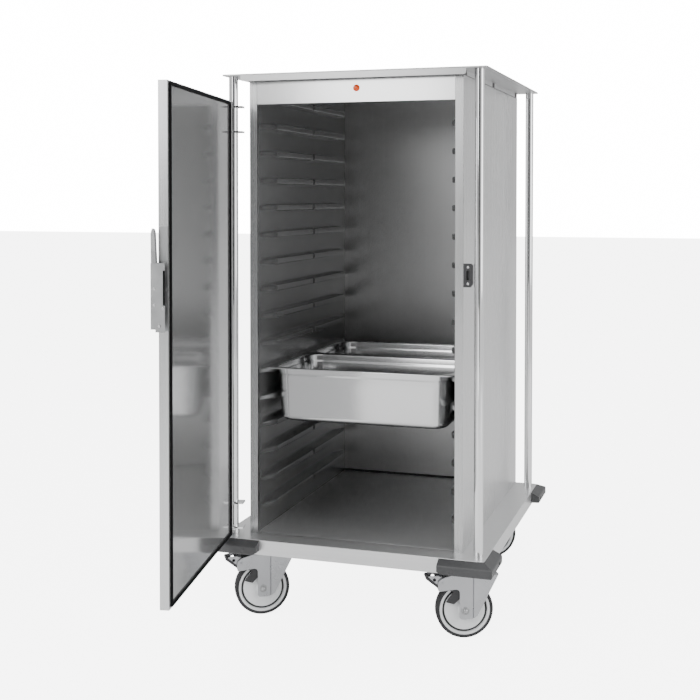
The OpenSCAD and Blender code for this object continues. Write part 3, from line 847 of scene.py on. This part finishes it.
def add_pan(node):
    """A deep drawn pan: rolled rim, rounded corners, a step under its collar."""
    low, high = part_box(node)
    half_x, half_y = (high.x - low.x) / 2, (high.y - low.y) / 2
    centre = Vector(((low.x + high.x) / 2, (low.y + high.y) / 2, high.z))
    pan = drawn_mesh(node + "_drawn", centre, half_x, half_y, pan_profile(high.z - low.z))
    edit_whole(pan)
    bpy.ops.mesh.normals_make_consistent(inside=False)
    leave_edit()
    only(pan)
    wall = pan.modifiers.new("wall", "SOLIDIFY")
    wall.thickness = PAN_WALL
    wall.offset = -1
    bpy.ops.object.modifier_apply(modifier=wall.name)
    smooth(pan, 50, flat=False)
    finish(pan, PAN_STEEL, node, node)


add_pan("front_pan")
add_pan("back_pan")


# ---- castors ----

# A castor is drawn about its axle, which lies along Y. Its swivel stands off the axle along X.
# The outlines of its plates are in mm, across and up from the axle.
FORK_HALF = 22 * mm
FORK_WALL = 3 * mm
FORK_TOP = 94 * mm
FORK_FACE = FORK_HALF + FORK_WALL
FORK_CREASE = 21 * mm
CREASE_HALF = 1.8 * mm
CREASE_DEPTH = 2.4 * mm
FORK_LEAN = 0.18
SWIVEL_X = 28 * mm
DRILL_LENGTH = 200 * mm
FORK_FRONT = ((10, -22), (22, -20), (32, -14), (88, 88), (88, 94))
PLAIN_BACK = ((-24, 94), (-15, 74), (-15, -18), (-10, -22))
BRAKED_BACK = (
    (-30, 94), (-54, 87), (-64, 83), (-70, 77), (-72, 68), (-71, 54), (-68, 51), (-24, 56),
    (-18, 54), (-15, 49), (-15, -18), (-10, -22),
)
# Radius and height in mm of the race between the fork and the castor's head
RACE_PROFILE = ((6.1, 0), (30, 0), (30.5, 1), (28, 6), (26.5, 8), (6.1, 8))

TYRE_R = 75 * mm
TYRE_SEAT = 66 * mm
TYRE_HALF = 14 * mm
TYRE_CORNER = 5 * mm
TYRE_FLAT = 4 * mm
# Radius and half width in mm of the hub, from its bore to its edge: a flat disc, a deep
# groove and a rim ring
HUB_SIDE = (
    (5.05, 19), (12, 19), (14.5, 17.8), (16, 15), (18, 12.5), (40, 12), (44, 11.6), (51.5, 11.8),
    (52.8, 11.2), (53.2, 3), (58.2, 3), (58.8, 12.2), (59.6, 13.6), (61, 14), (64, 14), (66, 13),
)
# Black rings in the hub's groove, painted shade of the groove: inner and outer radius in mm, and
# the two places along Y
GROOVE_SHADE_RADII = (53.4, 57.9)
GROOVE_SHADE_WIDTHS = ((-9, -7), (7, 9))
# Radius in mm and how far out from the fork, of the axle's head and its nut
AXLE_HEAD = (
    (0.1, 5.5), (3, 5.2), (5.5, 4), (6.6, 2), (6.8, 0.8), (8.2, 0.8), (8.6, 1.8), (10, 1.8),
    (10.6, 0), (5, 0),
)
AXLE_NUT = ((5, 0), (10, 0), (10, 3.5), (8, 5), (0.1, 5))

# The pedal's places, widths and outlines, all in mm
PEDAL_PIN = (-60, 74)
PEDAL_HALF = 19
CHEEK_WALL = 3
CHEEK_HOLE = (-80, 80)
CHEEK_HOLE_R = 4.2
SHOE_HALF = 12
TREAD_HALF = 21
ARM_SIDES = (-21, -18)
CHEEK_OUTLINE = (
    (-100, 84), (-97, 88), (-91, 90), (-70, 90), (-54, 83), (-53, 67), (-66, 62), (-72, 61),
)
# Radius and place along the pin
BARREL_PROFILE = ((0.1, -25), (3, -25), (3, -19), (7, -19), (7, 19), (3, 19), (3, 25), (0.1, 25))
SHOE_OUTLINE = ((-65, 74), (-57, 74), (-59, 57), (-66, 48), (-69, 50))
TREAD_OUTLINE = ((-103, 83), (-101, 87.5), (-97, 88.5), (-68, 63.5), (-72, 59))
ARM_OUTLINE = (
    (-65, 78), (-52, 78), (-20, 60), (-14, 50), (-14, 30), (-29, 16), (-50, 22), (-44, 32),
    (-36, 41), (-31, 47), (-65, 66),
)


def tyre_profile():
    """Half the tyre's section from its seat to the tread, and its mirror image."""
    shoulder = TYRE_R - TYRE_CORNER
    points = [(TYRE_SEAT, -TYRE_HALF), (shoulder, -TYRE_HALF)]
    for k in range(1, 6):
        angle = math.radians(-90 + 15 * k)
        points.append((shoulder + TYRE_CORNER * math.cos(angle),
                       -TYRE_HALF + TYRE_CORNER + TYRE_CORNER * math.sin(angle)))
    points.append((TYRE_R, -TYRE_FLAT))
    return points + [(r, -y) for r, y in reversed(points)]


def hub_profile():
    """The hub's section on one side of the wheel, and its mirror image."""
    points = in_mm(HUB_SIDE)
    return points + [(r, -y) for r, y in reversed(points)]


def fork_side(braked, side):
    """One side plate of the fork, bent along an upright crease and leaning in before it."""
    outline = in_mm(FORK_FRONT + (BRAKED_BACK if braked else PLAIN_BACK))
    plate = outline_plate("side", outline, side * FORK_HALF, side * FORK_FACE)
    edit_whole(plate)
    for x in (FORK_CREASE - CREASE_HALF, FORK_CREASE, FORK_CREASE + CREASE_HALF):
        bpy.ops.mesh.select_all(action="SELECT")
        bpy.ops.mesh.bisect(plane_co=(x, 0, 0), plane_no=(1, 0, 0))
    leave_edit()
    for vert in plate.data.vertices:
        if vert.co.x > FORK_CREASE:
            vert.co.y -= side * (vert.co.x - FORK_CREASE) * FORK_LEAN
        if abs(vert.co.x - FORK_CREASE) < 0.1 * mm:
            vert.co.y -= side * CREASE_DEPTH
    apply_bevel(plate, 0.8 * mm)
    return plate


def fork_piece(braked):
    """Two side plates under a bridge with the swivel race on it."""
    sides = [fork_side(braked, side) for side in (-1, 1)]
    bridge = block("bridge", (-24 * mm, -FORK_FACE, FORK_TOP - FORK_WALL),
                   (86 * mm, FORK_FACE - 1 * mm, FORK_TOP))
    apply_bevel(bridge, 1 * mm, 3)
    race = spun("race", in_mm(RACE_PROFILE))
    upright = Matrix.Rotation(QUARTER_TURN, 4, "X")
    race.data.transform(Matrix.Translation((SWIVEL_X, 0, FORK_TOP)) @ upright)
    fork = joined("fork", sides + [bridge, race])
    smooth(fork, 30)
    return fork


def axle_piece():
    """An axle bolt with a domed head at one end and a nut at the other."""
    profile = [(r * mm, -FORK_FACE - out * mm) for r, out in AXLE_HEAD]
    profile += [(r * mm, FORK_FACE + out * mm) for r, out in AXLE_NUT]
    shaft = spun("shaft", profile, 32)
    smooth(shaft, 40)
    return shaft


def bevelled_plate(name, outline, near, far, width, segments=2):
    """A plate with rounded edges. Its outline and its two sides are given in mm."""
    plate = outline_plate(name, in_mm(outline), near * mm, far * mm)
    apply_bevel(plate, width, segments)
    return plate


def pedal_pieces():
    """The pedal's cheeks on their pin, its dark tread, and the dark arm beside the wheel."""
    cheeks = []
    hole_x, hole_z = CHEEK_HOLE
    for near in (-PEDAL_HALF, PEDAL_HALF - CHEEK_WALL):
        cheek = outline_plate("cheek", in_mm(CHEEK_OUTLINE), near * mm, (near + CHEEK_WALL) * mm)
        cut_round_hole(cheek, (hole_x * mm, 0, hole_z * mm), CHEEK_HOLE_R * mm)
        apply_bevel(cheek, 0.6 * mm)
        cheeks.append(cheek)
    barrel = spun("barrel", in_mm(BARREL_PROFILE), 24)
    pin_x, pin_z = PEDAL_PIN
    barrel.data.transform(Matrix.Translation((pin_x * mm, 0, pin_z * mm)))
    shoe = bevelled_plate("shoe", SHOE_OUTLINE, -SHOE_HALF, SHOE_HALF, 0.8 * mm)
    pedal = joined("pedal", cheeks + [barrel, shoe])
    smooth(pedal)
    # The black tread covers the pedal's lower edge, partly a plastic tread and partly painted shade
    # of that edge.
    tread = bevelled_plate("tread", TREAD_OUTLINE, -TREAD_HALF, TREAD_HALF, 1.2 * mm, 3)
    arm = bevelled_plate("arm", ARM_OUTLINE, *ARM_SIDES, 0.8 * mm)
    dark = joined("dark", [tread, arm])
    smooth(dark)
    return pedal, dark


def cut_round_hole(piece, centre, radius):
    """Drills a round hole along the Y axis, right through the piece."""
    bpy.ops.object.select_all(action="DESELECT")
    bpy.ops.mesh.primitive_cylinder_add(vertices=24, radius=radius, depth=DRILL_LENGTH,
                                        location=centre, rotation=(QUARTER_TURN, 0, 0))
    drill = bpy.context.object
    only(piece)
    hole = piece.modifiers.new("hole", "BOOLEAN")
    hole.operation = "DIFFERENCE"
    hole.object = drill
    bpy.ops.object.modifier_apply(modifier=hole.name)
    bpy.data.objects.remove(drill)


def castor_matrix(corner):
    """The place of a wheel's axle and the way the wheel is turned."""
    joint = joints[corner + "_wheel_spin"]
    x, y, _ = joint["axis"]
    turn = Matrix.Rotation(math.atan2(-x, y), 4, "Z")
    return Matrix.Translation(joint["pos_m"]) @ turn


def wheel_pieces():
    """The tyre with black rings in the hub's groove as painted shade, and the hub."""
    inner, outer = GROOVE_SHADE_RADII
    bands = []
    for near, far in GROOVE_SHADE_WIDTHS:
        section = in_mm(((inner, near), (outer, near), (outer, far), (inner, far)))
        bands.append(spun("band", section))
    tyre = joined("tyre", [spun("tread", tyre_profile(), 96)] + bands)
    smooth(tyre, 40)
    hub = spun("hub", hub_profile(), 96)
    smooth(hub, 30)
    return tyre, hub


def add_castors():
    """Copies the drawn parts to all four corners. Only the front castors have a brake."""
    tyre, hub = wheel_pieces()
    axle = axle_piece()
    forks = {True: fork_piece(True), False: fork_piece(False)}
    pedal, dark = pedal_pieces()
    for corner in ("front_left", "front_right", "back_left", "back_right"):
        place = castor_matrix(corner)
        braked = corner.startswith("front")
        castor, wheel = corner + "_castor", corner + "_wheel"
        finish(copy_of(forks[braked], corner + "_bent_fork", place), ZINC, castor, corner + "_fork")
        finish(copy_of(axle, corner + "_axle_bolt", place), LATCH_STEEL, castor, corner + "_axle")
        finish(copy_of(hub, corner + "_wheel_disc", place), WHEEL_GREY, wheel, corner + "_hub")
        finish(copy_of(tyre, corner + "_round_tyre", place), TYRE_RUBBER_AND_SHADE, wheel, corner + "_tyre")
        if braked:
            body = corner + "_pedal"
            finish(copy_of(pedal, corner + "_foot_pedal", place), ZINC, body, body)
            finish(copy_of(dark, corner + "_brake_arm", place), BLACK_PLASTIC_AND_SHADE, body, body)
    for pattern in (tyre, hub, axle, forks[True], forks[False], pedal, dark):
        bpy.data.objects.remove(pattern)


add_castors()


# ---- studio ----

WHITE = (1, 1, 1, 1)
FLOOR_SIZE = 60
FLOOR_GLOW = 0.15
FLOOR_SHOWN = 5.5
CARD_PLACE = (1.35, -5.2, 1.1)
CARD_TURN = math.radians(15)
CARD_SIZE = (3.4, 2.2, 1)
# Azimuth from the front in degrees, and how light the surround is there
SURROUND = (
    (-180, 0.75), (-130, 0.65), (-90, 0.55), (-60, 0.8), (-44, 0.8), (-32, 0.55), (-4, 0.45),
    (8, 0.35), (24, 0.35), (40, 0.7), (60, 1.15), (95, 1.2), (120, 0.95), (150, 0.85), (180, 0.75)
)
# How high the surround gives way to the sky
SKY_EDGE = ((0.45, 0), (0.7, 1))
SKY_LIGHT = 1.0
BACKDROP_LIGHT = 16.0
# Each light's name, place, target, size and power
LIGHTS = (
    ("key", (-2.2, -3.4, 3.2), (0, 0, 0.8), (2.4, 2.4), 130),
    ("side", (4.0, -1.0, 2.0), (0, 0, 0.8), (2.0, 3.0), 60),
    ("strip", (-0.76, -3.3, 2.1), (0.05, -0.4, 1.43), (0.8, 1.6), 15),
    ("low fill", (0.35, -3.0, 0.4), (0, 0.2, 0.5), (1.2, 0.4), 2.5),
)


def add_floor():
    """A pale floor that looks whiter to the eye than the light it gives back."""
    bpy.ops.object.select_all(action="DESELECT")
    bpy.ops.mesh.primitive_plane_add(size=FLOOR_SIZE, location=(0, 0, 0))
    floor = bpy.context.object
    floor.name = "floor"
    material = mottled("pale floor", (0.88, 0.88, 0.88), rough=(0.7, 0.8), scale=40,
                       relief=0.02, contrast=0.01)
    tree = material.node_tree
    path = tree.nodes.new("ShaderNodeLightPath")
    shader = tree.nodes["Principled BSDF"]
    shader.inputs["Emission Color"].default_value = WHITE
    shown = math_node(tree, "MULTIPLY", path.outputs["Is Camera Ray"], FLOOR_SHOWN)
    glow = math_node(tree, "ADD", FLOOR_GLOW, shown)
    tree.links.new(glow, shader.inputs["Emission Strength"])
    floor.data.materials.append(material)


def add_dark_card():
    """A dark card behind the camera, which only the bright metal sees."""
    bpy.ops.object.select_all(action="DESELECT")
    bpy.ops.mesh.primitive_plane_add(size=1, location=CARD_PLACE,
                                     rotation=(QUARTER_TURN, 0, CARD_TURN))
    card = bpy.context.object
    card.name = "dark_card"
    card.scale = CARD_SIZE
    card.visible_camera = False
    card.data.materials.append(mottled("dark card", (0.1, 0.1, 0.1), rough=(0.8, 0.9), scale=40,
                                       relief=0, contrast=0))


def add_light(name, place, target, size, power):
    data = bpy.data.lights.new(name, "AREA")
    data.shape = "RECTANGLE"
    data.size, data.size_y = size
    data.energy = power
    light = bpy.data.objects.new(name, data)
    bpy.context.scene.collection.objects.link(light)
    light.visible_camera = False
    light.location = place
    light.rotation_euler = (Vector(target) - Vector(place)).to_track_quat("-Z", "Y").to_euler()


def grey_ramp(tree, value, stops):
    """A grey that follows a value from 0 to 1 through stops of (value, grey)."""
    node = tree.nodes.new("ShaderNodeValToRGB")
    ramp_data = node.color_ramp
    ramp_data.interpolation = "EASE"
    while len(ramp_data.elements) < len(stops):
        ramp_data.elements.new(0.5)
    for element, (position, light) in zip(ramp_data.elements, stops):
        element.position = position
        element.color = (light, light, light, 1)
    tree.links.new(value, node.inputs["Fac"])
    return node.outputs["Color"]


def add_world():
    """A white surround. Polished parts see it with darker stretches, as in a studio."""
    world = bpy.data.worlds.new("studio")
    bpy.context.scene.world = world
    world.use_nodes = True
    tree = world.node_tree
    place = tree.nodes.new("ShaderNodeTexCoord")
    axes = tree.nodes.new("ShaderNodeSeparateXYZ")
    tree.links.new(place.outputs["Generated"], axes.inputs[0])
    forward = math_node(tree, "MULTIPLY", axes.outputs["Y"], -1)
    azimuth = math_node(tree, "ARCTAN2", axes.outputs["X"], forward)
    turns = math_node(tree, "DIVIDE", azimuth, 2 * math.pi)
    around = grey_ramp(tree, math_node(tree, "ADD", turns, 0.5),
                       [(degrees / 360 + 0.5, light) for degrees, light in SURROUND])
    above = grey_ramp(tree, axes.outputs["Z"], SKY_EDGE)
    dome = math_node(tree, "MULTIPLY", above, SKY_LIGHT)
    rest = math_node(tree, "SUBTRACT", 1, above)
    seen = math_node(tree, "ADD", dome, math_node(tree, "MULTIPLY", around, rest))
    camera = tree.nodes.new("ShaderNodeLightPath").outputs["Is Camera Ray"]
    backdrop = math_node(tree, "MULTIPLY", camera, BACKDROP_LIGHT)
    other = math_node(tree, "MULTIPLY", seen, math_node(tree, "SUBTRACT", 1, camera))
    background = tree.nodes["Background"]
    background.inputs["Color"].default_value = WHITE
    tree.links.new(math_node(tree, "ADD", backdrop, other), background.inputs["Strength"])


add_floor()
add_world()
for name, place, target, size, power in LIGHTS:
    add_light(name, place, target, size, power)
add_dark_card()
